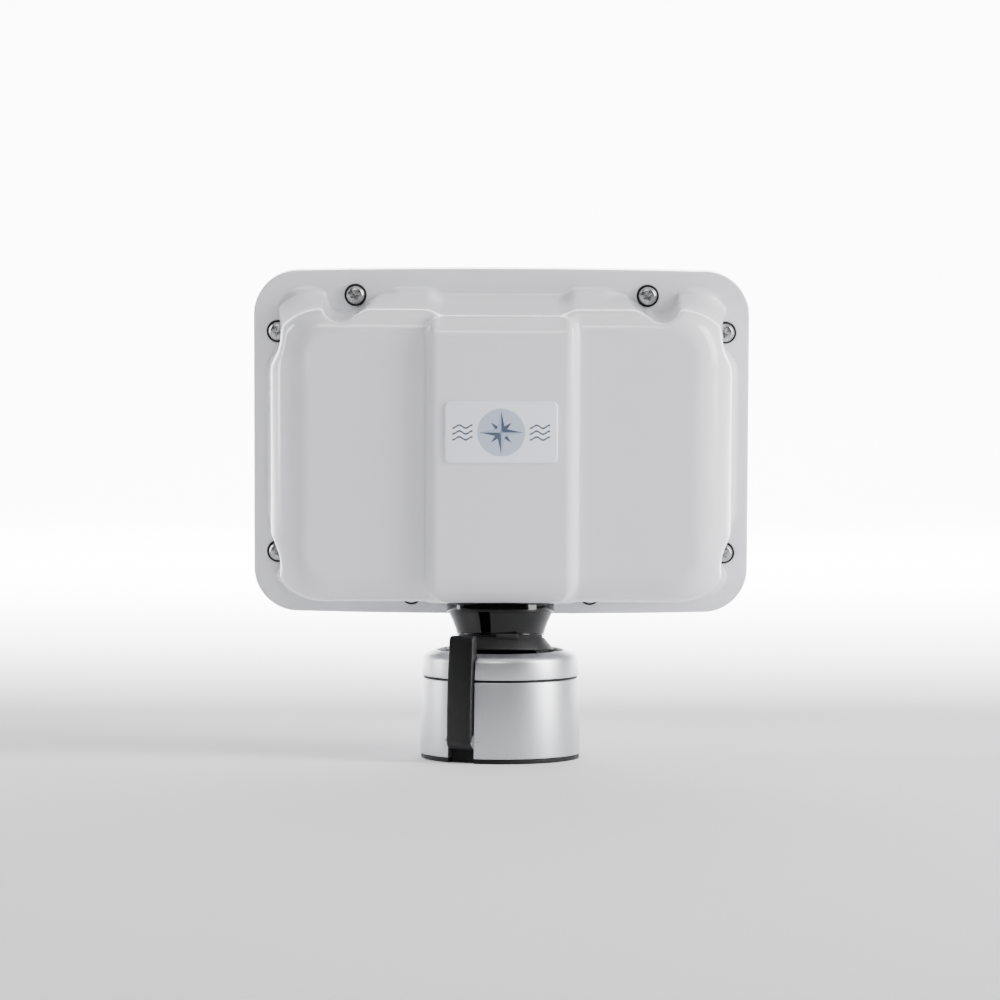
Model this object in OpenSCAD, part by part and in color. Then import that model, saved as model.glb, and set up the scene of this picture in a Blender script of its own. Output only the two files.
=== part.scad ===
// Marine instrument pod on a tilt-and-turn deck mount.
// The pod is a white moulded case: a domed rear shell screwed to a flat front panel that is cut to take a display.
// A hollow ball stem carries it. The ball sits in a cup that turns in the deck housing, and two pins let it tilt.
// A cam lever in the housing wall presses a shoe on the cup to lock both movements.
// Millimetres. +Z up, the deck at z = 0 under the middle of the housing, -Y towards the rear shell.

/* [Pod case] */
// Width of the pod
pod_w = 275; // [230:1:330]
// Height of the pod
pod_h = 193; // [172:1:232]
// Corner radius of the pod's outline
pod_corner = 24; // [16:1:30]
// How far the top and bottom edges bow out at the middle
pod_bow = 1.8; // [0:0.1:3]
// Depth of the rear shell behind its flange
dome_depth = 66; // [62:1:80]
// Wall of the rear shell and of the front panel
shell_wall = 3; // [2.2:0.1:3.6]
// Thickness of the rear shell's flange
flange_t = 5; // [4:0.1:6]
// Depth of the front panel
panel_depth = 12.5; // [11:0.5:15]
// Thickness of the seal between the two halves
seal_t = 1.2; // [0.8:0.1:2]
// Width of the raised spine down the back
spine_w = 83; // [78:1:83]
// How far the spine stands out of the back
spine_rise = 7; // [5:0.5:10]

/* [Pod screws] */
// Radius of the screw shank
screw_r = 2.4; // [2:0.1:2.6]
// Radius of the screw head
screw_head_r = 5; // [4.5:0.1:5.2]
// Height of the screw head
screw_head_h = 3.2; // [2.6:0.1:3.6]
// Radius of the sealing washer under the head
washer_r = 6.2; // [5.6:0.1:6.3]
// Thickness of the sealing washer
washer_t = 1.2; // [0.8:0.1:1.6]
// Distance of each top screw from the middle
top_screw_x = 81; // [64:0.5:84]
// Distance of each bottom screw from the middle
bottom_screw_x = 49.7; // [49.5:0.1:70]
// Height of each side screw above and below the middle
side_screw_z = 61.5; // [40:0.5:63]

/* [Neck] */
// Radius of the neck at its waist
waist_r = 24; // [23:0.5:25]
// Radius of the lower cone at its hem
skirt_r = 30; // [28:0.5:30]
// Radius of the collar under the pod
collar_r = 29.7; // [28.5:0.1:30.5]
// Height of the ball's centre above the hem of the lower cone
hem_rise = 19.5; // [19.5:0.5:22]
// Height of the waist above the ball's centre
waist_rise = 26.6; // [26:0.1:34]
// Height of the collar's foot above the ball's centre
collar_rise = 40.2; // [39.5:0.1:46]
// Height of the collar
collar_h = 5.1; // [3:0.1:7]
// Radius of the hole that the cables run through
cable_r = 7.5; // [5:0.5:8]
// Tilt of the neck as it is set, in degrees: to the rear is above zero
rest_tilt = -4; // [-9:1:10]
// How far the case leans to the rear on its neck, in degrees
case_lean = 8; // [0:0.5:9]

/* [Deck housing] */
// Radius of the housing at its foot
base_r = 44.1; // [43.5:0.1:54]
// How much the housing and its cap narrow towards the top
base_taper = 0.8; // [0:0.1:1.2]
// Height of the cap's rim above the deck
rim_z = 59.5; // [57.5:0.5:66]
// Height of the joint between housing and cap
joint_z = 44.3; // [44:0.1:44.6]
// Width of the joint between housing and cap
joint_gap = 1.3; // [0.8:0.1:1.3]
// Thickness of the deck gasket
gasket_t = 2.6; // [1.5:0.1:4]
// Thickness of the housing's floor
floor_t = 5; // [4:0.5:5]
// Wall of the housing
housing_wall = 6; // [5.5:0.1:6]
// Radius of the cap's opening
opening_r = 35; // [35:0.1:36]
// Radius of the tilt ball
ball_r = 27; // [25.5:0.1:27]
// Height of the ball's centre above the deck
ball_z = 39.5; // [39:0.1:40]
// Radius of each hole for a deck screw
deck_hole_r = 3.3; // [2.2:0.1:3.4]
// Diameter of the circle of deck holes
deck_pcd = 46; // [44:1:48]

/* [Lever] */
// Width of the lever
lever_w = 15; // [12:0.5:15.5]
// Direction of the lever, in degrees from the rear towards -X
lever_angle = 29.6; // [0:0.1:40]
// Height of the lever's tip above the deck
lever_tip_z = 69.4; // [62:0.5:69.5]
// Thickness of the lever at its tip
lever_tip_t = 5; // [4:0.5:5.2]
// How far the lever stands out of the housing at its foot
lever_proud = 2.2; // [1:0.1:4]
// Height of the lever's pivot above the deck
pivot_z = 12; // [12:0.1:13]
// Radius of the lever's cam
cam_r = 5; // [4.5:0.1:5]
// Throw of the lever's cam
cam_throw = 1.5; // [1.4:0.05:1.6]

/* [Hidden] */

$fn = 96;
eps = 0.01;
run_fit = 0.05;      // clearance of a piece that turns in another
slide_fit = 0.1;     // clearance of a piece that slides

// Pod: depths along Y from the neck's axis, heights from the spine's foot, where the case turns on the neck by its lean.
collar_gap = 2.8;    // collar to flange
flange_y = collar_r + collar_gap;            // rear face of the flange
seal_y = flange_y + flange_t;
panel_y = seal_y + seal_t;                   // rear face of the front panel
front_y = panel_y + panel_depth;
dome_side_margin = 8.3;                      // flange that shows beside the dome
dome_top_margin = 13.8;
dome_bottom_margin = 9.8;
spine_bottom_margin = 5.9;
spine_top_step = 3.8;                        // the spine's top starts this far below the dome's
pod_foot = collar_rise + collar_h;           // underside of the spine
pod_mid = pod_h / 2 - spine_bottom_margin - flange_y * tan(case_lean);
dome_w = pod_w / 2 - dome_side_margin;       // half width
dome_hi = pod_mid + pod_h / 2 - dome_top_margin;
dome_lo = pod_mid - pod_h / 2 + dome_bottom_margin;
dome_corner = 20;
dome_fillet = 21;                            // round of the back's side edges
top_fillet = 12;
bottom_fillet = 15;
side_draft = tan(4);
top_draft = tan(4.6);
bottom_draft = tan(4.7);
spine_draft = tan(3);
spine_corner = 5;
spine_fillet = min(7, spine_rise - 0.2);
spine_overlap = 2;                           // the dome runs this far into the spine's sides
spine_back_y = flange_y - dome_depth - spine_rise;
root = 1;                                    // the dome and spine start this far inside the flange
flange_lip = 1.5;                            // the flange's opening is this much narrower than the cavity

// Pod screws
top_inset = 14.7;
side_inset = 13.4;
bottom_inset = 11.4;
side_pocket_r = washer_r + 0.4;
top_pocket_r = 10;
lobe_out = 6.8;                              // each top pocket's round floor is this far outside its screw
pocket_slope = 31.7;                         // and its inner side slopes down to it
scoop_r = 24;                                // the sides are scooped out round the side screws
scoop_x = 15.5;
side_pocket_depth = 9;
bottom_pocket_r = washer_r + 0.8;
bottom_pocket_depth = 22;
insert_r = 3.4;
insert_len = 8;
boss_r = insert_r + 2.2;
screw_len = washer_t + flange_t + seal_t + insert_len;
panel_hi = pod_mid + pod_h / 2;
panel_lo = pod_mid - pod_h / 2;
SCREWS = [for (s = [-1, 1]) each [
    [s * top_screw_x, panel_hi - top_inset],
    [s * (pod_w / 2 - side_inset), pod_mid + side_screw_z],
    [s * (pod_w / 2 - side_inset), pod_mid - side_screw_z],
    [s * bottom_screw_x, panel_lo + bottom_inset]]];

// Front panel and badge
panel_edge = 6;
panel_border = 12;
panel_recess = 0.8;
plug_x = 39.6;
plug_r = 3;
plug_proud = 0.7;
plug_len = 10;
plug_y = panel_y + plug_r + 0.2;
seal_in = 1;
seal_w = 6;
badge_w = 61.3;
badge_h = 33.7;
badge_t = 1;
badge_rise = 13;

// Neck
stem_r = 17;
thread_r = 11.5;
skirt_wall = 2.5;
waist_gap = 0.6;
trumpet_top_r = collar_r - 1.1;
key_w = 12;
key_h = 2.8;
key_x = 3.8;
plate_w = 66;
plate_d = 50;
plate_t = 3;
bolt_r = 2.5;
bolt_ring = 23;
bolt_bite = 5;
bolt_head_r = 4.2;
bolt_head_h = 5;
plate_z = pod_foot + shell_wall;
stem_washer_r = 17.5;
stem_washer_t = 1.5;
nut_flats = 30;
nut_h = 8;
nut_z = plate_z + plate_t + stem_washer_t;
stem_top = nut_z + nut_h + 2;

// Housing, heights from the deck
base_top_r = base_r - base_taper;
cavity_r = base_top_r - housing_wall;
floor_z = gasket_t + floor_t;
cap_z = joint_z + joint_gap;
cup_wall = 4;
cup_r = ball_r + cup_wall;
seat_r = ball_r + run_fit;
liner_in = cup_r + run_fit;
liner_out = cavity_r - slide_fit;
liner_lip = 2;
lip_t = 3;
washer_z = floor_z + lip_t;
thrust_t = 0.6;
cup_z = washer_z + thrust_t + run_fit;
cup_top_z = ball_z + 3.9;
ring_z = cup_top_z + 0.6;
ring_top_z = ball_z + 10.5;
ring_r = opening_r + 1.4;
pin_r = 3;
pin_in = ball_r - 6.5;
cup_hole_r = 12;
ball_flat = 24;
shoulder_r = 3.5;
cap_screw_r = 1.5;
cap_screw_ring = (cavity_r + base_top_r) / 2 + 0.1;
cap_screw_bite = 7;
cap_head_r = 2.75;
cap_head_h = 3;
floor_hole_r = 10;

// Lever, in a plane through the housing's axis: u outwards and v up from the pivot
tip_lean = 2.5;                              // the tip leans in by this much
pivot_u = base_r + lever_proud - cam_r;      // distance of the pivot from the housing's axis
tip_out = cam_r - tip_lean;
slot_side = 0.6;                             // clearance beside the lever
slot_w = lever_w + 2 * slot_side;
slot_u = pivot_u + tip_out - lever_tip_t - slot_side;
shoe_u = pivot_u - cam_r - cam_throw - slide_fit;
shoe_h = 16;
window_z = pivot_z - cam_r - 0.4;
window_top_z = floor_z + shoe_h + 2 * slide_fit;
cam_top_z = pivot_z + cam_r + cam_throw + 0.9;
lever_pin_r = 1.5;
lever_pin_half = 10.5;
pin_snap = 0.1;       // the groove under the pin is this much narrower on each side
spacer_r = 4.2;
spacer_t = 0.5;

// ---------- helpers ----------

// Turns what is drawn round the ball's centre into the set tilt.
module tilted() {
    translate([0, 0, ball_z]) rotate([rest_tilt, 0, 0]) children();
}

// Turns what is drawn round the spine's foot to where the case stands on the neck.
module case() {
    tilted() translate([0, 0, pod_foot]) rotate([case_lean, 0, 0]) children();
}

// Brings what is drawn for the neck into the case's own directions.
module neck_in_case() {
    rotate([-case_lean, 0, 0]) translate([0, 0, -pod_foot]) children();
}

// Turns +X, the outward direction, to where the lever is.
module at_lever() {
    rotate([0, 0, 270 - lever_angle]) children();
}

// Extrudes an outline in X and Z from y0 to y1.
module slab(y0, y1) {
    translate([0, y1, 0]) rotate([90, 0, 0]) linear_extrude(y1 - y0) children();
}

// Bore or rod along Y at [x, z].
module along_y(at, r, y0, y1) {
    translate([at[0], y0, at[1]]) rotate([-90, 0, 0]) cylinder(r = r, h = y1 - y0);
}

module ring(r_in, r_out, z0, z1) {
    difference() {
        translate([0, 0, z0]) cylinder(r = r_out, h = z1 - z0);
        translate([0, 0, z0 - 1]) cylinder(r = r_in, h = z1 - z0 + 2);
    }
}

// Rounded box outline, half width w, from lo to hi, whose top and bottom bow by b at the middle.
function arc(cx, cy, r, a0, sweep = 90, steps = 8) =
    [for (i = [0:steps]) [cx + r * cos(a0 + sweep * i / steps), cy + r * sin(a0 + sweep * i / steps)]];
function bowed(points, w, mid, b) =
    [for (p = points) [p[0], p[1] - sign(p[1] - mid) * b * pow(p[0] / w, 2)]];
function edge(w, z, r, from) =
    [for (i = [1:7]) [from * (w - r) * (1 - i / 4), z]];
function outline(w, lo, hi, r, b = 0) =
    bowed(concat(arc(w - r, hi - r, r, 0), edge(w, hi, r, 1), arc(r - w, hi - r, r, 90),
        arc(r - w, lo + r, r, 180), edge(w, lo, r, -1), arc(w - r, lo + r, r, 270)),
        w, (lo + hi) / 2, b);

module pod_outline(inset = 0) {
    polygon(outline(pod_w / 2 - inset, panel_lo + inset, panel_hi - inset, pod_corner - inset / 2, pod_bow));
}

// How far a round edge of radius r has come in at d from the face that it ends on.
function rounded_in(r, d) = d >= r ? 0 : r - sqrt(r * r - (r - d) * (r - d));

// ---------- deck housing ----------

module slot(z0, z1, inner = slot_u) {
    at_lever() translate([inner, -slot_w / 2, z0]) cube([base_r, slot_w, z1 - z0]);
}

module window(z1) {
    at_lever() translate([cup_r - 2, -slot_w / 2, window_z]) cube([slot_u - cup_r + 4, slot_w, z1 - window_z]);
}

module round_screws(count, radius, start) {
    for (i = [0:count - 1]) rotate([0, 0, start + 360 * i / count]) translate([radius, 0, 0]) children();
}

module deck_holes(z0, z1) {
    round_screws(4, deck_pcd / 2, 0) translate([0, 0, z0]) cylinder(r = deck_hole_r, h = z1 - z0, $fn = 32);
}

module cap_screw_places() {
    round_screws(4, cap_screw_ring, 270 - lever_angle + 45) children();
}

module base_gasket() color("#26262a") difference() {
    cylinder(r = base_r - 0.5, h = gasket_t);
    translate([0, 0, -1]) cylinder(r = floor_hole_r + 1.5, h = gasket_t + 2);
    deck_holes(-1, gasket_t + 1);
    slot(-1, gasket_t + 1, slot_u - 1);
}

module base_housing() color("#b9b9bc") difference() {
    translate([0, 0, gasket_t]) cylinder(r1 = base_r, r2 = base_top_r, h = joint_z - gasket_t);
    translate([0, 0, floor_z]) cylinder(r = cavity_r, h = joint_z);
    translate([0, 0, -1]) cylinder(r = floor_hole_r, h = floor_z + 2);
    deck_holes(-1, floor_z + 1);
    slot(-1, joint_z + 1);
    window(cam_top_z);
    cap_screw_places() {
        translate([0, 0, -1]) cylinder(r = cap_screw_r + slide_fit, h = joint_z + 2, $fn = 32);
        translate([0, 0, gasket_t - 1]) cylinder(r = cap_head_r + slide_fit, h = cap_head_h + 1.2, $fn = 32);
    }
    lever_pin_rod(lever_pin_r, -lever_pin_half, lever_pin_half);
    at_lever() translate([pivot_u - lever_pin_r + pin_snap, -lever_pin_half, -1])
        cube([2 * (lever_pin_r - pin_snap), 2 * lever_pin_half, pivot_z + 1]);
}

module bearing_liner() color("#2b2b30") difference() {
    union() {
        ring(liner_in, liner_out, floor_z, ring_z - eps);
        ring(cup_r - liner_lip, liner_in + 1, floor_z, washer_z);
    }
    window(window_top_z);
}

module thrust_washer() color("#e9e6dc")
    ring(cup_r - liner_lip + 0.2, cup_r, washer_z, washer_z + thrust_t);

module swivel_cup() color("#3a3a40") difference() {
    translate([0, 0, cup_z]) cylinder(r = cup_r, h = cup_top_z - cup_z);
    translate([0, 0, ball_z]) sphere(r = seat_r);
    translate([0, 0, ball_z]) cylinder(r = seat_r, h = ball_r);
    cylinder(r = cup_hole_r, h = ball_z);
    translate([0, 0, ball_z]) tilt_pin_rods();
    for (a = [45:90:315]) rotate([0, 0, a]) translate([cup_hole_r, -0.6, ball_z - 22]) cube([cup_r, 1.2, 2 * ball_r]);
}

module tilt_pin_rods(extra = 0) {
    for (s = [-1, 1]) translate([s * (pin_in + cup_r - 0.2) / 2, 0, 0]) rotate([0, 90, 0])
        cylinder(r = pin_r + extra, h = cup_r - 0.2 - pin_in + 2 * extra, center = true, $fn = 48);
}

module tilt_pins() color("#a9abb0") translate([0, 0, ball_z]) tilt_pin_rods();

module socket_ring() color("#222226") difference() {
    translate([0, 0, ring_z]) cylinder(r = ring_r - slide_fit, h = ring_top_z - ring_z);
    translate([0, 0, ball_z]) sphere(r = seat_r);
}

module cap_seal() color("#222226") difference() {
    ring(ring_r + 0.9, base_top_r - 1, joint_z, cap_z);
    slot(joint_z - 1, cap_z + 1, slot_u - 1);
    cap_screw_places() translate([0, 0, joint_z - 1]) cylinder(r = cap_screw_r + 0.2, h = joint_gap + 2, $fn = 32);
}

// Side of the cap, then the round shoulder, then the slope up to the rim.
function cap_profile() = let (side_r = base_top_r - 0.1, corner_r = base_top_r - 0.8, corner_z = rim_z - 5)
    concat([[ring_r, cap_z], [side_r, cap_z], [corner_r, corner_z]],
        [for (i = [1:6]) let (a = 11 * i) [corner_r - shoulder_r * (1 - cos(a)), corner_z + shoulder_r * sin(a)]],
        [[opening_r + 1, rim_z], [opening_r, rim_z - 0.8], [opening_r, ring_top_z], [ring_r, ring_top_z]]);

module clamp_cap() color("#bdbdc0") difference() {
    rotate_extrude() polygon(cap_profile());
    slot(cap_z - 1, rim_z + 1);
    cap_screw_places() translate([0, 0, cap_z - 1]) cylinder(r = cap_screw_r, h = cap_screw_bite + 1, $fn = 32);
}

module cap_screws() color("#a9abb0") cap_screw_places() {
    translate([0, 0, gasket_t]) difference() {
        cylinder(r = cap_head_r, h = cap_head_h, $fn = 32);
        translate([0, 0, -1]) cylinder(r = 1.45, h = 2.6, $fn = 6);
    }
    translate([0, 0, gasket_t + cap_head_h - eps])
        cylinder(r = cap_screw_r, h = cap_z + cap_screw_bite - 0.5 - gasket_t - cap_head_h, $fn = 32);
}

// ---------- lever ----------

module lever_pin_rod(r, t0, t1) {
    at_lever() translate([pivot_u, t0, pivot_z]) rotate([-90, 0, 0]) cylinder(r = r, h = t1 - t0, $fn = 48);
}

module lever_side() {
    top_v = lever_tip_z - pivot_z;
    translate([-cam_throw, 0]) circle(r = cam_r, $fn = 64);
    circle(r = cam_r, $fn = 64);
    translate([-cam_throw, -cam_r]) square([cam_throw, 2 * cam_r]);
    polygon([[-1.5, 1], [cam_r, 0], [cam_r, 16], [cam_r - 0.6, 32], [tip_out, top_v - 1.2], [tip_out - 1.2, top_v],
        [tip_out - lever_tip_t, top_v], [tip_out - lever_tip_t, 14]]);
}

module clamp_lever() color("#2a2a2e") difference() {
    at_lever() translate([pivot_u, lever_w / 2, pivot_z]) rotate([90, 0, 0]) linear_extrude(lever_w) lever_side();
    lever_pin_rod(lever_pin_r + run_fit, -lever_w, lever_w);
}

module lever_pin() color("#a9abb0") lever_pin_rod(lever_pin_r, -lever_pin_half, lever_pin_half);

module lever_spacers() color("#b9b9bc") difference() {
    union() for (s = [-1, 1]) at_lever()
        translate([pivot_u, s * (lever_w / 2 + slot_side / 2) + spacer_t / 2, pivot_z]) rotate([90, 0, 0])
            cylinder(r = spacer_r, h = spacer_t, $fn = 48);
    lever_pin_rod(lever_pin_r, -lever_pin_half, lever_pin_half);
}

module clamp_shoe() color("#b08d57") difference() {
    at_lever() translate([cup_r - 2, -slot_w / 2 + slide_fit, floor_z + slide_fit])
        cube([shoe_u - cup_r + 2, slot_w - 2 * slide_fit, shoe_h]);
    cylinder(r = liner_in, h = ball_z);
}

// ---------- ball and neck ----------

module ball_stem() color("#2c2c30") tilted() difference() {
    union() {
        intersection() {
            sphere(r = ball_r);
            translate([-ball_r, -ball_r, -ball_flat]) cube([2 * ball_r, 2 * ball_r, 2 * ball_r + ball_flat]);
        }
        cylinder(r = stem_r, h = waist_rise + waist_gap);
        cylinder(r = thread_r, h = stem_top);
    }
    translate([0, 0, -ball_r - 1]) cylinder(r = cable_r, h = stem_top + ball_r + 2);
    tilt_pin_rods(run_fit);
}

module key_block(grow = 0) {
    translate([key_x - key_w / 2 - grow, -waist_r - 1, waist_rise + waist_gap / 2 - key_h / 2 - grow])
        cube([key_w + 2 * grow, 4, key_h + 2 * grow]);
}

module neck_skirt() color("#1d1d20") tilted() difference() {
    translate([0, 0, hem_rise]) cylinder(r1 = skirt_r, r2 = waist_r, h = waist_rise - hem_rise);
    translate([0, 0, hem_rise - eps])
        cylinder(r1 = skirt_r - skirt_wall, r2 = stem_r + 2.5, h = waist_rise - hem_rise - 3);
    translate([0, 0, hem_rise - 1]) cylinder(r = stem_r, h = waist_rise);
    key_block(run_fit);
}

module waist_ring() color("#141416") tilted() difference() {
    ring(stem_r, waist_r - 0.8, waist_rise, waist_rise + waist_gap);
    key_block(run_fit);
}

module index_key() color("#242428") tilted() key_block();

// The trumpet's side sweeps out in a quarter of an ellipse-like curve.
function trumpet_side(steps = 8) = [for (i = [0:steps]) let (t = i / steps)
    [waist_r + 0.2 + (trumpet_top_r - waist_r - 0.2) * pow(t, 1.35),
        waist_rise + waist_gap + (collar_rise - waist_rise - waist_gap) * t]];

module neck_trumpet() color("#2a2a2f") tilted() difference() {
    rotate_extrude() polygon(concat([[thread_r, waist_rise + waist_gap]], trumpet_side(), [[thread_r, collar_rise]]));
    plate_bolt_places() translate([0, 0, collar_rise - bolt_bite - 0.5])
        cylinder(r = bolt_r, h = bolt_bite + 1, $fn = 32);
    key_block(run_fit);
}

module plate_bolt_places() {
    round_screws(4, bolt_ring, 45) children();
}

module pod_collar() color("#2a2a2f") tilted() difference() {
    ring(thread_r, collar_r, collar_rise, pod_foot);
    plate_bolt_places() translate([0, 0, collar_rise - 1]) cylinder(r = bolt_r + 0.2, h = collar_h + 2, $fn = 32);
}

module mounting_plate() color("#a9abb0") tilted() difference() {
    translate([-plate_w / 2, -plate_d / 2 + 3, plate_z]) cube([plate_w, plate_d, plate_t]);
    translate([0, 0, plate_z - 1]) cylinder(r = thread_r, h = plate_t + 2);
    plate_bolt_places() translate([0, 0, plate_z - 1]) cylinder(r = bolt_r + 0.2, h = plate_t + 2, $fn = 32);
}

module plate_bolts() color("#a9abb0") tilted() plate_bolt_places() {
    translate([0, 0, plate_z + plate_t]) difference() {
        cylinder(r = bolt_head_r, h = bolt_head_h, $fn = 32);
        translate([0, 0, bolt_head_h - 2.5]) cylinder(r = 2.3, h = 3, $fn = 6);
    }
    translate([0, 0, collar_rise - bolt_bite])
        cylinder(r = bolt_r, h = plate_z + plate_t - collar_rise + bolt_bite + eps, $fn = 32);
}

module stem_washer() color("#b9b9bc") tilted()
    ring(thread_r, stem_washer_r, plate_z + plate_t, nut_z);

module stem_nut() color("#a9abb0") tilted() difference() {
    translate([0, 0, nut_z]) cylinder(r = nut_flats / sqrt(3), h = nut_h, $fn = 6);
    translate([0, 0, nut_z - 1]) cylinder(r = thread_r, h = nut_h + 2);
}

// ---------- pod case ----------

// The dome at depth d behind the flange, or its cavity when g is the wall.
module dome_slice(d, g) {
    back = dome_depth - g - d;
    side_in = side_draft * d + rounded_in(dome_fillet - g, back) + g;
    top_in = top_draft * d + rounded_in(top_fillet - g, back) + g;
    low_in = bottom_draft * d + rounded_in(bottom_fillet - g, back) + g;
    slab(flange_y - d, flange_y - d + eps)
        polygon(outline(dome_w - side_in, dome_lo + low_in, dome_hi - top_in, dome_corner + 0.25 * side_in - g));
}

module spine_slice(d, g) {
    back = dome_depth + spine_rise - g - d;
    side_in = rounded_in(spine_fillet, back) + g;
    top_in = spine_draft * d + rounded_in(top_fillet - g, back) + g;
    foot = -(flange_y - d) * tan(case_lean) + rounded_in(bottom_fillet - g, back) + g / cos(case_lean);
    slab(flange_y - d, flange_y - d + eps)
        polygon(outline(spine_w / 2 - side_in, foot, dome_hi - spine_top_step - top_in, spine_corner));
}

// Depths at which a form that ends at depth "full" with a round of radius r is sliced.
// The first slice is inside the flange.
function slices(full, r) = concat([-root, full - r], [for (a = [30, 55, 75, 90]) full - r + r * sin(a)]);

module dome(g = 0) {
    cut_w = spine_w - 2 * spine_overlap;
    difference() {
        hull() for (d = slices(dome_depth - g, dome_fillet - g)) dome_slice(d, g);
        translate([-cut_w / 2 - g, flange_y - dome_depth - 1, dome_hi - 2 * spine_top_step - g])
            cube([cut_w + 2 * g, dome_depth + 2 + root, 3 * spine_top_step + g]);
    }
    hull() for (d = slices(dome_depth + spine_rise - g, bottom_fillet - g)) spine_slice(d, g);
}

// A top pocket slopes down past the screw to a round floor and is open upwards and outwards.
function top_pocket(r) = let (a = 270 - pocket_slope, x = lobe_out + r * cos(a), z = r * sin(a))
    concat(arc(lobe_out, 0, r, a, 90 + pocket_slope, 12), [[lobe_out + r, dome_top_margin],
        [x - (dome_top_margin - z) / tan(pocket_slope), dome_top_margin]]);

// A bottom pocket is round over the screw and open downwards.
function bottom_pocket(r) = concat(arc(0, 0, r, 0, 180, 16), [[-r, -bottom_inset - r], [r, -bottom_inset - r]]);

// Screwdriver room round each screw, or the plastic round it when g is the wall.
module screw_pockets(g = 0) {
    behind = flange_y - dome_depth - spine_rise - 1;
    for (s = [-1, 1]) {
        slab(behind, flange_y + g) translate([s * top_screw_x, panel_hi - top_inset])
            polygon([for (p = top_pocket(top_pocket_r + g)) [s * p[0], p[1]]]);
        for (z = [-side_screw_z, side_screw_z]) {
            along_y([s * (pod_w / 2 - side_inset), pod_mid + z], side_pocket_r + g,
                flange_y - side_pocket_depth - g, flange_y + g);
            along_y([s * (dome_w + scoop_x), pod_mid + z], scoop_r + g, behind, flange_y + g);
        }
        slab(flange_y - bottom_pocket_depth - g, flange_y + g)
            translate([s * bottom_screw_x, panel_lo + bottom_inset]) polygon(bottom_pocket(bottom_pocket_r + g));
    }
}

module rear_shell() color("#eeeef0") case() difference() {
    lip_in = shell_wall + flange_lip;
    union() {
        slab(flange_y, seal_y) pod_outline();
        dome();
    }
    difference() {
        union() {
            dome(shell_wall);
            slab(flange_y - 1, seal_y + 1)
                polygon(outline(dome_w - lip_in, dome_lo + lip_in, dome_hi - spine_top_step - lip_in,
                    dome_corner - lip_in));
        }
        screw_pockets(shell_wall);
        for (p = SCREWS) along_y(p, washer_r + shell_wall, flange_y, seal_y + 2);
    }
    screw_pockets();
    for (p = SCREWS) along_y(p, screw_r + 0.3, flange_y - 1, seal_y + 1);
    neck_in_case() translate([0, 0, pod_foot - 1]) {
        cylinder(r = thread_r, h = shell_wall + 3);
        plate_bolt_places() cylinder(r = bolt_r + 0.2, h = shell_wall + 3, $fn = 32);
    }
}

module badge() color("#dfe3ea") case()
    slab(spine_back_y - badge_t, spine_back_y)
        polygon(outline(badge_w / 2, pod_mid + badge_rise - badge_h / 2, pod_mid + badge_rise + badge_h / 2, 3));

module shell_screw() {
    dome_sphere = (screw_head_r * screw_head_r + 4) / 4;
    difference() {
        intersection() {
            translate([0, 0, -screw_head_h]) cylinder(r = screw_head_r, h = screw_head_h, $fn = 48);
            translate([0, 0, dome_sphere - screw_head_h]) sphere(r = dome_sphere);
        }
        for (a = [0, 90]) rotate([0, 0, a]) translate([-2.4, -0.55, -screw_head_h - 1]) cube([4.8, 1.1, 2.6]);
    }
    translate([0, 0, -eps]) cylinder(r = screw_r, h = screw_len - 0.5, $fn = 32);
}

module at_screws(y) {
    for (p = SCREWS) translate([p[0], y, p[1]]) rotate([-90, 0, 0]) children();
}

module shell_screws() color("#c4c6ca") case() at_screws(flange_y - washer_t) shell_screw();

module sealing_washers() color("#1b1b1d") case()
    for (p = SCREWS) difference() {
        along_y(p, washer_r, flange_y - washer_t, flange_y);
        along_y(p, screw_r + 0.1, flange_y - washer_t - 1, flange_y + 1);
    }

module panel_seal() color("#3c3c40") case() slab(seal_y, panel_y) difference() {
    pod_outline(seal_in);
    pod_outline(seal_in + seal_w);
}

module thread_inserts() color("#b8924a") case()
    for (p = SCREWS) difference() {
        along_y(p, insert_r, panel_y, panel_y + insert_len);
        along_y(p, screw_r + 0.1, panel_y - 1, panel_y + insert_len + 1);
    }

module front_panel() color("#efeff1") case() difference() {
    hull() {
        slab(panel_y, front_y - panel_edge) pod_outline();
        for (a = [30, 60, 90])
            slab(front_y - panel_edge * (1 - sin(a)) - eps, front_y - panel_edge * (1 - sin(a)))
                pod_outline(panel_edge * (1 - cos(a)));
    }
    slab(front_y - panel_recess, front_y + 1) pod_outline(panel_border);
    difference() {
        slab(panel_y - 1, front_y - panel_recess - shell_wall) pod_outline(seal_in + seal_w + 0.2);
        for (p = SCREWS) along_y(p, boss_r, panel_y, front_y);
    }
    for (p = SCREWS) along_y(p, insert_r, panel_y - 1, panel_y + insert_len);
    translate([plug_x, plug_y, panel_lo - 1]) cylinder(r = plug_r, h = plug_len + 1, $fn = 48);
}

// The breather lets the case drain and breathe at its lowest point.
module breather_plug() color("#e6e6e8") case() difference() {
    translate([plug_x, plug_y, panel_lo - plug_proud]) cylinder(r = plug_r, h = plug_len + plug_proud, $fn = 48);
    translate([plug_x, plug_y, panel_lo - plug_proud - 1]) cylinder(r = 1, h = plug_len + plug_proud + 2, $fn = 24);
}

base_gasket();
base_housing();
bearing_liner();
thrust_washer();
swivel_cup();
tilt_pins();
socket_ring();
cap_seal();
clamp_cap();
cap_screws();
clamp_lever();
lever_pin();
lever_spacers();
clamp_shoe();
ball_stem();
neck_skirt();
waist_ring();
index_key();
neck_trumpet();
pod_collar();
rear_shell();
mounting_plate();
plate_bolts();
stem_washer();
stem_nut();
badge();
shell_screws();
sealing_washers();
panel_seal();
thread_inserts();
front_panel();
breather_plug();
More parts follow.
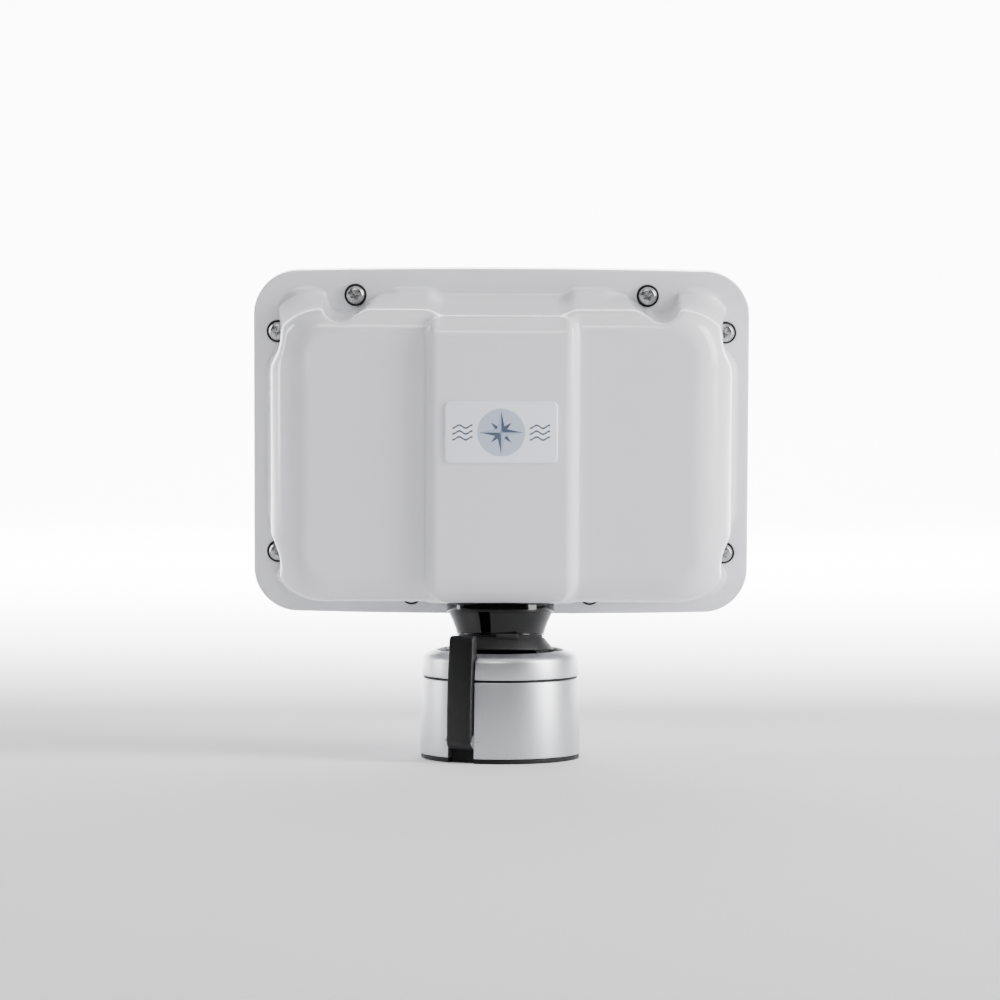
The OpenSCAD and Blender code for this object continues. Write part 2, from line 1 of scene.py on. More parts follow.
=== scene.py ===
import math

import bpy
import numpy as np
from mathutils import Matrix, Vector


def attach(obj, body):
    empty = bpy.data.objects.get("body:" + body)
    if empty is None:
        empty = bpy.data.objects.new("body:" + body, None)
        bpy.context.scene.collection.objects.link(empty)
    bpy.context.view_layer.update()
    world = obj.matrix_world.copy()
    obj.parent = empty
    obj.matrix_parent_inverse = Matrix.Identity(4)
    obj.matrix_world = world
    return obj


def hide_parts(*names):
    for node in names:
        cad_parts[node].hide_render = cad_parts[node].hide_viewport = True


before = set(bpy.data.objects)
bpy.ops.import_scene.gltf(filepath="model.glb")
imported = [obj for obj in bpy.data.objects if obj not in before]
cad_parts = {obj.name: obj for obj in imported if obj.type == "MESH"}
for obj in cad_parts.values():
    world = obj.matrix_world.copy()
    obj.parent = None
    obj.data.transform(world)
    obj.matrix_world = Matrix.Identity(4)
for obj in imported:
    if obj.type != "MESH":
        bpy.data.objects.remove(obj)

# Marine instrument pod on a tilt-and-turn deck mount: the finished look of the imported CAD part.
#
# Each piece is modelled in metres at its real size, in the directions of the part it belongs to, and then
# turned to where it stands. The case is worked in its own directions: X across, Y from the dome to the front
# panel and Z up from the foot of the spine.

bl_info = {
    "name": "Marine instrument pod",
    "version": (1, 0, 0),
    "blender": (4, 5, 0),
    "location": "View3D > Sidebar > Pod",
    "description": "Builds the case, neck, deck housing and lever of a marine instrument pod",
    "category": "Object",
}

MM = 0.001
SEGMENTS = 192      # faces round a large turned piece
SMALL_SEGMENTS = 64     # faces round a screw or a plug
PAST = 10 * MM      # how far a cutter reaches past what it cuts


# ---------- sizes and colours ----------

def length(name, value, text):
    """Property that holds a length, given in mm."""
    return bpy.props.FloatProperty(name=name, description=text, default=value * MM, unit="LENGTH",
                                   subtype="DISTANCE", precision=4)


def angle(name, value, text):
    """Property that holds an angle, given in degrees."""
    return bpy.props.FloatProperty(name=name, description=text, default=math.radians(value), unit="ROTATION",
                                   subtype="ANGLE")


def colour(name, value, text):
    """Property that holds a colour, given as an sRGB hex code."""
    return bpy.props.FloatVectorProperty(name=name, description=text, default=linear(value), size=4, min=0,
                                         max=1, subtype="COLOR")


def linear(hex_code):
    """Linear colour of an sRGB hex code."""
    parts = [int(hex_code[i:i + 2], 16) / 255 for i in (1, 3, 5)]
    return (*[c / 12.92 if c <= 0.04045 else ((c + 0.055) / 1.055) ** 2.4 for c in parts], 1.0)


class PodSizes(bpy.types.PropertyGroup):
    """Sizes of the case."""
    width: length("Width", 275, "Width of the case")
    height: length("Height", 193, "Height of the case")
    corner: length("Corner", 24, "Corner radius of the case's outline")
    bow: length("Bow", 1.8, "How far the top and bottom edges bow out at the middle")
    middle: length("Middle", 86.02, "Height of the case's middle above the spine's foot")
    flange_y: length("Flange", 32.5, "Distance of the flange's rear face from the neck's axis")
    flange_t: length("Flange thickness", 5, "Thickness of the rear shell's flange")
    depth: length("Dome depth", 66, "Depth of the dome behind the flange")
    spine: length("Spine", 41.5, "Half width of the spine at its foot")
    rise: length("Spine rise", 7, "How far the spine stands out of the back")
    seal: length("Seal", 1.2, "Thickness of the seal between the two halves")
    panel: length("Panel", 12.5, "Depth of the front panel")
    top_screw: length("Top screws", 81, "Distance of the top screws from the middle")
    top_inset: length("Top screw inset", 14.7, "Distance of the top screws from the top edge")
    side_screw: length("Side screws", 61.5, "Height of the side screws above and below the middle")
    side_inset: length("Side screw inset", 13.4, "Distance of the side screws from the side edge")
    low_screw: length("Bottom screws", 49.7, "Distance of the bottom screws from the middle")
    low_inset: length("Bottom screw inset", 11.4, "Distance of the bottom screws from the bottom edge")
    badge_w: length("Badge width", 61.3, "Width of the badge")
    badge_h: length("Badge height", 33.7, "Height of the badge")
    badge_z: length("Badge place", 13, "How far the badge's centre is above the case's middle")


class NeckSizes(bpy.types.PropertyGroup):
    """Sizes of the neck, heights from the ball's centre."""
    ball_z: length("Ball centre", 39.5, "Height of the ball's centre above the deck")
    tilt: angle("Tilt", -4, "Tilt of the neck as it is set, to the rear is above zero")
    lean: angle("Case lean", 8, "How far the case leans to the rear on its neck")
    hem: length("Hem", 19.5, "Height of the lower cone's hem")
    waist: length("Waist", 26.6, "Height of the lower cone's top")
    gap: length("Gap", 1.2, "Height of the groove at the waist")
    collar: length("Collar", 40.2, "Height of the collar's underside")
    foot: length("Foot", 45.3, "Height of the collar's top, on which the case stands")
    hem_r: length("Hem radius", 30, "Radius of the lower cone at its hem")
    waist_r: length("Waist radius", 24, "Radius of the neck at its waist")
    collar_r: length("Collar radius", 29.7, "Radius of the collar")
    stem_r: length("Stem radius", 17, "Radius of the stem inside the lower cone")
    thread_r: length("Thread radius", 11.5, "Radius of the stem's upper part")


class BaseSizes(bpy.types.PropertyGroup):
    """Sizes of the deck housing and its lever."""
    radius: length("Radius", 44.1, "Radius of the housing at its foot")
    taper: length("Taper", 0.8, "How much the housing narrows up to the joint")
    wall: length("Wall", 6, "Wall of the housing")
    gasket: length("Gasket", 2.6, "Thickness of the deck gasket")
    floor: length("Floor", 5, "Thickness of the housing's floor")
    joint_z: length("Joint", 44.3, "Height of the joint between housing and cap")
    joint: length("Joint gap", 1.3, "Width of the joint between housing and cap")
    rim_z: length("Rim", 59.5, "Height of the cap's rim")
    opening: length("Opening", 35, "Radius of the cap's opening")
    lever_w: length("Lever width", 15, "Width of the lever")
    lever_dir: angle("Lever direction", 29.6, "Direction of the lever from the rear towards -X")
    lever_top: length("Lever top", 69.4, "Height of the lever's tip above the deck")
    pivot_z: length("Pivot height", 12, "Height of the lever's pivot")
    pivot_u: length("Pivot distance", 41.3, "Distance of the lever's pivot from the housing's axis")
    slot_w: length("Slot width", 16.2, "Width of the slot that the lever lies in")
    slot_u: length("Slot depth", 38.2, "Distance of the slot's floor from the housing's axis")


class Colours(bpy.types.PropertyGroup):
    """Colours of the materials."""
    case: colour("Case", "#E3E3E7", "White ASA of the case")
    neck: colour("Neck", "#050506", "Black acetal of the neck")
    matt: colour("Matt black", "#0D0D0E", "Matt black nylon")
    lever: colour("Lever", "#0F0F11", "Charcoal coat of the lever")
    rubber: colour("Rubber", "#0C0C0D", "EPDM rubber")
    alloy: colour("Housing", "#C9CACD", "Blasted and anodised aluminium")
    steel: colour("Steel", "#AEAEAE", "Stainless steel")
    brass: colour("Brass", "#C79A4B", "Brass of the inserts")
    bronze: colour("Bronze", "#9E7444", "Bronze of the clamp shoe")
    cup: colour("Cup", "#55565B", "Hard-anodised aluminium of the swivel cup")
    white: colour("Bearing white", "#E4E1D8", "PTFE of the thrust washer")
    ink: colour("Ink", "#33425C", "Dark print on the badge")
    tint: colour("Tint", "#B4C0D4", "Pale print on the badge")
    facet: colour("Facet", "#A0ADC4", "Light halves of the badge's rose")
    label: colour("Badge", "#F0F4FC", "Ground of the badge")
    ground: colour("Floor", "#E2E2E4", "Studio floor")


# ---------- helpers ----------

def sizes():
    """The sizes of the case, the neck and the deck housing."""
    scene = bpy.context.scene
    return scene.pod_sizes, scene.neck_sizes, scene.base_sizes


def neck_frame():
    """From the neck's directions, round the ball's centre, to the frame."""
    neck = bpy.context.scene.neck_sizes
    return Matrix.Translation((0, 0, neck.ball_z)) @ Matrix.Rotation(neck.tilt, 4, "X")


def case_frame():
    """From the case's directions, round the spine's foot, to the frame."""
    neck = bpy.context.scene.neck_sizes
    return neck_frame() @ Matrix.Translation((0, 0, neck.foot)) @ Matrix.Rotation(neck.lean, 4, "X")


def slot_turn():
    """Turns X to the direction of the lever's slot."""
    return Matrix.Rotation(math.radians(270) - bpy.context.scene.base_sizes.lever_dir, 4, "Z")


def lever_frame():
    """From the lever's directions, X outwards from its pivot, to the frame."""
    base = bpy.context.scene.base_sizes
    return slot_turn() @ Matrix.Translation((base.pivot_u, 0, base.pivot_z))


def only(*objs):
    """Selects just these, the last one active."""
    bpy.ops.object.select_all(action="DESELECT")
    for obj in objs:
        obj.select_set(True)
    bpy.context.view_layer.objects.active = objs[-1]


def placed(obj, matrix):
    """Turns a piece to where it stands and leaves it at the origin, untransformed."""
    only(obj)
    obj.matrix_world = matrix @ obj.matrix_world
    bpy.ops.object.transform_apply(location=True, rotation=True, scale=True)
    return obj


def edit(obj, *steps):
    """Runs edit-mode steps on the whole of a piece."""
    only(obj)
    bpy.ops.object.mode_set(mode="EDIT")
    bpy.ops.mesh.select_all(action="SELECT")
    for step in steps:
        step()
    bpy.ops.object.mode_set(mode="OBJECT")
    return obj


def edit_faces(obj, wanted, *steps):
    """Runs edit-mode steps on the faces that a test picks."""
    edit(obj, lambda: bpy.ops.mesh.select_mode(type="FACE"),
         lambda: bpy.ops.mesh.select_all(action="DESELECT"))
    for face in obj.data.polygons:
        face.select = wanted(face)
    bpy.ops.object.mode_set(mode="EDIT")
    for step in steps:
        step()
    bpy.ops.mesh.select_mode(type="VERT")
    bpy.ops.object.mode_set(mode="OBJECT")
    return obj


def closed(obj):
    """Merges doubled points and turns the faces outwards."""
    return edit(obj, lambda: bpy.ops.mesh.remove_doubles(threshold=1e-6),
                lambda: bpy.ops.mesh.normals_make_consistent(inside=False))


def smooth(obj, degrees=32):
    """Smooth shading, with edges sharper than an angle left sharp."""
    only(obj)
    bpy.ops.object.shade_smooth_by_angle(angle=math.radians(degrees))
    return obj


def modifier(obj, kind, **values):
    """Adds a modifier with these values and applies it."""
    only(obj)
    mod = obj.modifiers.new(kind.title(), kind)
    for key, value in values.items():
        setattr(mod, key, value)
    bpy.ops.object.modifier_apply(modifier=mod.name)
    return obj


def cut(obj, *cutters):
    """Cuts pieces out of a piece and removes them."""
    for cutter in cutters:
        modifier(obj, "BOOLEAN", operation="DIFFERENCE", solver="EXACT", object=cutter)
        bpy.data.objects.remove(cutter)
    return obj


def rounded(obj, width, segments=3, degrees=40):
    """Rounds the edges that are sharper than an angle."""
    return modifier(obj, "BEVEL", width=width, segments=segments, limit_method="ANGLE",
                    angle_limit=math.radians(degrees), use_clamp_overlap=True, harden_normals=False)


def block(lo, hi):
    """Box between two corners, in metres."""
    lo, hi = Vector(lo), Vector(hi)
    bpy.ops.mesh.primitive_cube_add(size=1, location=(lo + hi) / 2, scale=hi - lo)
    bpy.ops.object.transform_apply(location=True, rotation=True, scale=True)
    return bpy.context.view_layer.objects.active


def rod(radius, start, end, vertices=48):
    """Cylinder between two points."""
    start, end = Vector(start), Vector(end)
    turn = (end - start).to_track_quat("Z", "Y").to_euler()
    bpy.ops.mesh.primitive_cylinder_add(radius=radius, depth=(end - start).length, location=(start + end) / 2,
                                        rotation=turn, vertices=vertices)
    bpy.ops.object.transform_apply(location=True, rotation=True, scale=True)
    return bpy.context.view_layer.objects.active


def sketch(name, points, face=False):
    """Closed line through points, the start of a turned or extruded piece."""
    mesh = bpy.data.meshes.new(name)
    count = len(points)
    edges = [] if face else [(i, (i + 1) % count) for i in range(count)]
    mesh.from_pydata([Vector(p) for p in points], edges, [list(range(count))] if face else [])
    obj = bpy.data.objects.new(name, mesh)
    bpy.context.scene.collection.objects.link(obj)
    only(obj)
    return obj


def soften(points, radii, steps=5):
    """Closed profile with its corners rounded. A corner whose radius is 0 stays sharp."""
    out, count = [], len(points)
    for i, radius in enumerate(radii):
        here = Vector(points[i])
        if not radius:
            out.append(here)
            continue
        before = (Vector(points[i - 1]) - here).normalized()
        after = (Vector(points[(i + 1) % count]) - here).normalized()
        half = before.angle(after) / 2
        reach = radius / math.tan(half)
        middle = here + (before + after).normalized() * (radius / math.sin(half))
        start, end = (here + side * reach - middle for side in (before, after))
        out += [middle + radius * start.slerp(end, k / steps) for k in range(steps + 1)]
    return out


def turned(name, profile, radii, matrix=None, segments=SEGMENTS):
    """Spins a closed profile of (radius, height) pairs round Z."""
    obj = sketch(name, [(p[0], 0, p[1]) for p in soften(profile, radii)])
    edit(obj, lambda: bpy.ops.mesh.spin(steps=segments, angle=2 * math.pi, center=(0, 0, 0), axis=(0, 0, 1)))
    closed(obj)
    smooth(obj)
    return placed(obj, matrix) if matrix else obj


def rounded_box_line(half_w, lo, hi, corner, bow=0.0, steps=12, spans=24):
    """Outline in X and Z, anticlockwise, whose top and bottom bow out at the middle."""
    points = []
    for cx, cz, start in ((1, hi, 0), (-1, hi, 90), (-1, lo, 180), (1, lo, 270)):
        centre = Vector((cx * (half_w - corner), cz - corner if cz == hi else cz + corner))
        for k in range(steps + 1):
            a = math.radians(start + 90 * k / steps)
            points.append(centre + corner * Vector((math.cos(a), math.sin(a))))
        if start in (0, 180):
            run = 2 * (half_w - corner)
            points += [Vector((cx * (half_w - corner - run * k / spans), cz)) for k in range(1, spans)]
    middle = (lo + hi) / 2
    return [Vector((p.x, p.y - math.copysign(bow * (p.x / half_w) ** 2, p.y - middle))) for p in points]


def push_out(distance):
    """Step that extrudes the selected faces along Y."""
    return lambda: bpy.ops.mesh.extrude_region_move(TRANSFORM_OT_translate={"value": (0, distance, 0)})


def slab(name, line, y0, y1):
    """Extrudes an outline in X and Z from y0 to y1."""
    obj = sketch(name, [(p[0], y0, p[1]) for p in line], face=True)
    edit(obj, push_out(y1 - y0))
    return closed(obj)


def rounded_where(obj, wanted, width, segments):
    """Rounds the edges that a test of their two ends picks."""
    layer = obj.data.attributes.new("bevel_weight_edge", "FLOAT", "EDGE")
    for e in obj.data.edges:
        if wanted(*(obj.data.vertices[i].co for i in e.vertices)):
            layer.data[e.index].value = 1.0
    return modifier(obj, "BEVEL", width=width, segments=segments, limit_method="WEIGHT")


def copies(obj, places):
    """A piece at each place, each with its own mesh. The last place takes the piece itself."""
    out = []
    for i, place in enumerate(places[:-1]):
        one = obj.copy()
        one.data = obj.data.copy()
        one.name = one.data.name = f"{obj.name}_{i + 1}"
        bpy.context.scene.collection.objects.link(one)
        out.append(placed(one, place))
    return out + [placed(obj, places[-1])]


def finish(obj, body, node, material):
    """Gives a piece its material, its body and its place in the part."""
    obj.data.materials.clear()
    obj.data.materials.append(material)
    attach(obj, body)
    if node:
        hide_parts(node)
    return obj


def screw_places():
    """Middle of each pod screw on the flange, in the case's directions."""
    pod, _, _ = sizes()
    hi, lo = pod.middle + pod.height / 2, pod.middle - pod.height / 2
    out = []
    for s in (-1, 1):
        out += [(s * pod.top_screw, hi - pod.top_inset),
                (s * (pod.width / 2 - pod.side_inset), pod.middle + pod.side_screw),
                (s * (pod.width / 2 - pod.side_inset), pod.middle - pod.side_screw),
                (s * pod.low_screw, lo + pod.low_inset)]
    return out


# ---------- rear shell ----------

# The shell's blends run into each other all round: dome into flange, pockets into dome and spine into dome.
# No row of extrusions gives that, so the form is written as a distance, its skin is laid through the zero of
# the distance, and each point's normal is the distance's own slope. These sizes, in mm and degrees, shape it
# beside those that a user would change.
RIM_ROUND = 0.9
SIDE_IN, SIDE_DRAFT = 8.3, 4.0          # the dome's walls: in from the flange's edge, and their draft
TOP_IN, TOP_DRAFT = 13.8, 4.6
FOOT_IN, FOOT_DRAFT = 9.8, 4.7
DIP, DIP_LOSS, DIP_RUN = 3.8, 0.028, 10     # dip of the top over the spine, lost towards back and sides
SPINE_FOOT_SLOPE, SPINE_FOOT_RUN = 8, 6     # the spine's foot is flat on the neck and runs into the dome's
CORNER_ROUND, CORNER_GAIN = 22, 0.12    # round between side and top, and its gain with depth
SPINE_GROOVE, SPINE_EDGE = 1.6, 0.2     # round beside the spine, and the flat beside its edge's round
TOP_EDGE, FOOT_EDGE, SIDE_EDGE = 12, 15, 21     # rounds between the walls and the back
SIDE_RUN, HEIGHT_RUN = 60, 80           # how far one of those rounds takes to turn into the next
POCKET_OUT, POCKET_R, POCKET_SLOPE, POCKET_EDGE = 6.8, 10, 31.7, 1.3
SCOOP_OUT, SCOOP_R, SCOOP_EDGE = 0.4, 17, 4
SEAT_R, SEAT_DEEP, SEAT_ROUND = 7, 9, 2
LOW_POCKET_DEEP, SEAT_EDGE = 22, 0.8
BLEND_LEAST, BLEND_FOOT, BLEND_TOP = 0.5, 2.6, 2.2      # blend to the flange: beside a screw, and added


def join(a, b, r):
    """Union with a concave round of radius r."""
    return np.maximum(r, np.minimum(a, b)) - np.hypot(np.maximum(r - a, 0), np.maximum(r - b, 0))


def meet(a, b, r):
    """Intersection with a convex round of radius r."""
    return np.minimum(-r, np.maximum(a, b)) + np.hypot(np.maximum(r + a, 0), np.maximum(r + b, 0))


def ease(t):
    """Runs smoothly from 0 to 1 as t does."""
    t = np.clip(t, 0, 1)
    return t * t * (3 - 2 * t)


def slant(degrees):
    """Sideways distance for each mm of a slanted wall."""
    return math.tan(math.radians(degrees))


def shell_walls(x, y, z, pod, d):
    """Distances in mm to the dome's side and to its top and foot, which the spine shares."""
    half_w, mid, spine = pod.width / 2 / MM, pod.middle / MM, pod.spine / MM
    hi, lo = mid + pod.height / 2 / MM, mid - pod.height / 2 / MM
    side = (x - (half_w - SIDE_IN) + d * slant(SIDE_DRAFT)) * math.cos(math.radians(SIDE_DRAFT))
    dip = (DIP - DIP_LOSS * d) * ease((spine - x) / DIP_RUN)
    top = z - (hi - TOP_IN) + d * slant(TOP_DRAFT) + dip
    foot_dome = lo + FOOT_IN + d * slant(FOOT_DRAFT)
    foot_spine = -y * slant(SPINE_FOOT_SLOPE)
    share = ease((spine + 1 - x) / SPINE_FOOT_RUN)
    bottom = foot_dome + (np.minimum(foot_spine, foot_dome) - foot_dome) * share - z
    return side, np.maximum(top, bottom)


def top_pocket(x, z, cx, cz):
    """Distance to a top pocket: a round lobe outside the screw, whose inner side slopes down to it."""
    px, pz = x - cx, z - cz
    ax, az = -math.cos(math.radians(POCKET_SLOPE)), math.sin(math.radians(POCKET_SLOPE))
    along = np.clip(px * ax + pz * az, 0, None)
    to_slope = np.hypot(px - along * ax, pz - along * az)
    to_side = np.hypot(px, pz - np.clip(pz, 0, None))
    within = (px < 0) & (px * az - pz * ax > 0)
    nearest = np.minimum(to_slope, to_side)
    return np.where(within, -nearest, nearest) - POCKET_R


def shell_distance(x, y, z, pod):
    """Distance in mm to the shell's skin from points in the case's directions. Below zero is inside."""
    x = np.sqrt(x * x + 1e-9)
    half_w, half_h, mid = pod.width / 2 / MM, pod.height / 2 / MM, pod.middle / MM
    hi, lo, flange = mid + half_h, mid - half_h, pod.flange_y / MM
    depth, rise, spine = pod.depth / MM, pod.rise / MM, pod.spine / MM
    top_x, top_z = pod.top_screw / MM, hi - pod.top_inset / MM
    side_x, side_zs = half_w - pod.side_inset / MM, [mid + s * pod.side_screw / MM for s in (1, -1)]
    low_x, low_z = pod.low_screw / MM, lo + pod.low_inset / MM
    d = flange - y
    # flange
    bow = pod.bow / MM * (x / half_w) ** 2
    rim = meet(x - half_w, np.abs(z - mid) + bow - half_h, pod.corner / MM)
    plate = meet(rim, -(y - flange), RIM_ROUND)
    # dome and spine
    side, upright = shell_walls(x, y, z, pod, d)
    walls = meet(side, upright, CORNER_ROUND + CORNER_GAIN * np.clip(d, 0, depth))
    back = join(-depth + d, meet(x - spine, d - depth - rise, rise - SPINE_EDGE), SPINE_GROOVE)
    toward_side = ease(0.5 + (side - upright) / SIDE_RUN)
    edge = FOOT_EDGE + (TOP_EDGE - FOOT_EDGE) * ease(0.5 + (z - mid) / HEIGHT_RUN)
    dome = meet(walls, back, edge + (SIDE_EDGE - edge) * toward_side)
    dome = meet(dome, -top_pocket(x, z, top_x + POCKET_OUT, top_z), POCKET_EDGE)
    # side scoops and the washers' round seats
    for height in side_zs:
        dome = meet(dome, SCOOP_R - np.hypot(x - half_w - SCOOP_OUT, z - height), SCOOP_EDGE)
        seat = meet(np.hypot(x - side_x, z - height) - SEAT_R, d - SEAT_DEEP, SEAT_ROUND)
        dome = meet(dome, -seat, SEAT_EDGE)
    # bottom pockets, open downwards
    low = np.hypot(x - low_x, np.maximum(z - low_z, 0)) - SEAT_R
    dome = meet(dome, -meet(low, d - LOW_POCKET_DEEP, SEAT_ROUND), SEAT_EDGE)
    # the blend to the flange is small beside the screws and wider at the top
    places = [(top_x, top_z), *((side_x, height) for height in side_zs), (low_x, low_z)]
    near = np.min([np.hypot(x - sx, z - sz) for sx, sz in places], axis=0)
    widest = BLEND_FOOT + BLEND_TOP * ease((z - hi + 40) / 20)
    return join(plate, dome, BLEND_LEAST + widest * ease((near - 13) / 12))


def axis_steps(knots):
    """Grid lines from (end, spacing) pairs, fine where the form needs it."""
    out, start = [], knots[0]
    for end, gap in knots[1:]:
        count = max(1, round((end - start) / gap))
        out += [start + (end - start) * k / count for k in range(count)]
        start = end
    return np.array(out + [start])


def skin(pod):
    """Points and quads of the shell's skin, in mm.

    Each cell of the grid that the skin runs through gets one point, the mean of where it crosses the cell's
    edges, and each grid line that it crosses gets the quad of the four cells around it. The grid is fine at
    the spine's edges, the screws and the outer rounds.
    """
    half = axis_steps([0, (32, 2.2), (44, 0.9), (58, 1.0), (64, 1.8), (102, 1.0), (112, 2.0), (138.6, 0.95)])
    xs = np.concatenate([-half[:0:-1], half])
    ys = axis_steps([-41.6, (-20, 1.0), (8, 2.2), (26, 1.2), (37.5, 0.8)])
    zs = axis_steps([-11.6, (12, 0.95), (46, 1.3), (126, 2.2), (150, 1.3), (183.6, 0.95)])
    grid = np.meshgrid(xs, ys, zs, indexing="ij")
    value = shell_distance(*grid, pod)
    inside = value < 0
    shape = np.array(value.shape)
    total = np.zeros((*(shape - 1), 3))
    hits = np.zeros(shape - 1)
    corners = [(i, j, k) for i in (0, 1) for j in (0, 1) for k in (0, 1)]

    def block_of(array, c):
        """The values at one corner of every cell."""
        return array[tuple(slice(o, n - 1 + o) for o, n in zip(c, shape))]

    for a in corners:
        for axis in range(3):
            if a[axis]:
                continue
            b = tuple(1 if n == axis else o for n, o in enumerate(a))
            va, vb = block_of(value, a), block_of(value, b)
            cross = (va < 0) != (vb < 0)
            t = np.where(cross, va / np.where(cross, va - vb, 1), 0)
            for n in range(3):
                pa, pb = block_of(grid[n], a), block_of(grid[n], b)
                total[..., n] += np.where(cross, pa + (pb - pa) * t, 0)
            hits += cross
    used = hits > 0
    number = np.full(hits.shape, -1)
    number[used] = np.arange(used.sum())
    points = total[used] / hits[used][:, None]
    quads = []
    for axis in range(3):
        n1, n2 = [n for n in range(3) if n != axis]
        lo_s = tuple(slice(0, -1) if n == axis else slice(1, -1) for n in range(3))
        hi_s = tuple(slice(1, None) if n == axis else slice(1, -1) for n in range(3))
        a, b = inside[lo_s], inside[hi_s]
        at = np.argwhere(a != b)
        out = a[a != b]
        at[:, n1] += 1
        at[:, n2] += 1
        ring = []
        for s1, s2 in ((-1, -1), (0, -1), (0, 0), (-1, 0)):
            cell = at.copy()
            cell[:, n1] += s1
            cell[:, n2] += s2
            ring.append(number[tuple(cell.T)])
        ring = np.stack(ring, 1)
        flip = out if axis != 1 else ~out
        ring[~flip] = ring[~flip][:, ::-1]
        quads.append(ring)
    quads = np.concatenate(quads)
    return points, quads[(quads >= 0).all(1)]


def slope(points, pod, h=0.02):
    """Slope of the distance at points."""
    out = []
    for axis in range(3):
        shift = np.zeros(3)
        shift[axis] = h
        out.append(shell_distance(*(points + shift).T, pod) - shell_distance(*(points - shift).T, pod))
    return np.stack(out, 1) / (2 * h)


def shell_mesh(pod):
    """The skin with its points drawn onto the form, its front edge straight and its normals set."""
    points, quads = skin(pod)
    front = (pod.flange_y + pod.flange_t) / MM
    rim = points[:, 1] > points[:, 1].max() - 0.3
    for _ in range(5):
        grad = slope(points, pod)
        step = shell_distance(*points.T, pod)[:, None] * grad / np.maximum((grad * grad).sum(1), 0.3)[:, None]
        step[rim, 1] = 0
        points -= np.clip(step, -0.8, 0.8)
    normals = slope(points, pod)
    normals /= np.maximum(np.linalg.norm(normals, axis=1), 1e-6)[:, None]
    points[rim, 1] = front
    mesh = bpy.data.meshes.new("rear_shell_skin")
    mesh.from_pydata((points * MM).tolist(), [], quads.tolist())
    mesh.shade_smooth()
    mesh.normals_split_custom_set_from_vertices(normals.tolist())
    return mesh


# ---------- materials ----------

def add(tree, kind, inputs=None, **values):
    """Adds a node, sets its values and inputs. An input may be a value or another node's socket."""
    node = tree.nodes.new(kind)
    for key, value in values.items():
        setattr(node, key, value)
    for key, value in (inputs or {}).items():
        if isinstance(value, bpy.types.NodeSocket):
            tree.links.new(value, node.inputs[key])
        else:
            node.inputs[key].default_value = value
    return node


def blank(name):
    """New material and its empty node tree."""
    mat = bpy.data.materials.new(name)
    mat.use_nodes = True
    mat.node_tree.nodes.clear()
    return mat, mat.node_tree


def shade(tree, **inputs):
    """Principled shader and output."""
    inputs = {key.replace("_", " "): value for key, value in inputs.items()}
    shader = add(tree, "ShaderNodeBsdfPrincipled", inputs)
    add(tree, "ShaderNodeOutputMaterial", {"Surface": shader.outputs["BSDF"]})
    return shader


def place_of(tree, size=1.0, stretch=(1, 1, 1)):
    """Object coordinates, centred on the object's middle height, in units of a size."""
    coords = add(tree, "ShaderNodeTexCoord")
    return add(tree, "ShaderNodeMapping", {
        "Vector": coords.outputs["Object"], "Location": (0, 0, -0.1 / size),
        "Scale": tuple(s / size for s in stretch)}).outputs["Vector"]


def grain(tree, size, stretch=(1, 1, 1), detail=2.0):
    """Noise with grains of a size in metres."""
    place = place_of(tree, size, stretch)
    return add(tree, "ShaderNodeTexNoise", {
        "Vector": place, "Scale": 1.0, "Detail": detail, "Roughness": 0.6}).outputs["Fac"]


def bumped(tree, height, depth, strength=1.0):
    """Normal of a surface that stands up to a depth in metres."""
    node = add(tree, "ShaderNodeBump", {"Height": height, "Distance": depth, "Strength": strength})
    return node.outputs["Normal"]


def ranged(tree, value, lo, hi):
    """Turns 0 to 1 into a range."""
    return add(tree, "ShaderNodeMapRange", {"Value": value, "To Min": lo, "To Max": hi}).outputs["Result"]


def mixed(tree, factor, a, b):
    """Colour a where the factor is 0 and b where it is 1."""
    node = add(tree, "ShaderNodeMix", data_type="RGBA")
    for key, value in (("Factor", factor), ("A", a), ("B", b)):
        sockets = [s for s in node.inputs if s.name == key and s.enabled]
        if isinstance(value, bpy.types.NodeSocket):
            tree.links.new(value, sockets[0])
        else:
            sockets[0].default_value = value
    return [s for s in node.outputs if s.enabled][0]


def gloss_case(rgba):
    """Injection-moulded white ASA, polished tool: faint long waves from the mould and a hard clear gloss."""
    mat, tree = blank("asa_gloss_white")
    wave = grain(tree, 45 * MM)
    glow = 4 * MM
    shade(tree, Base_Color=rgba, Roughness=ranged(tree, grain(tree, 20 * MM), 0.1, 0.15), IOR=1.5,
          Normal=bumped(tree, wave, 0.2 * MM, 0.35), Subsurface_Weight=0.08,
          Subsurface_Radius=(glow, glow, glow), Subsurface_Scale=1.0)
    return mat


def gloss_acetal(rgba):
    """Turned and polished black acetal: fine rings from the lathe, nearly gone."""
    mat, tree = blank("acetal_gloss_black")
    rings = grain(tree, 3 * MM, (0.3, 0.3, 3))
    shade(tree, Base_Color=rgba, Roughness=ranged(tree, rings, 0.06, 0.1), IOR=1.49, Specular_IOR_Level=0.32)
    return mat


def matt_nylon(rgba):
    """Glass-filled nylon from a spark-eroded mould: 0.4 mm grain."""
    mat, tree = blank("nylon_matt_black")
    shade(tree, Base_Color=rgba, Roughness=0.55, Normal=bumped(tree, grain(tree, 0.4 * MM), 0.02 * MM, 0.5))
    return mat


def coated_lever(rgba):
    """Die casting with a satin charcoal powder coat: 0.8 mm orange peel."""
    mat, tree = blank("powder_coat_charcoal")
    shade(tree, Base_Color=rgba, Roughness=0.4, Specular_IOR_Level=0.35,
          Normal=bumped(tree, grain(tree, 0.8 * MM), 0.02 * MM, 0.5))
    return mat


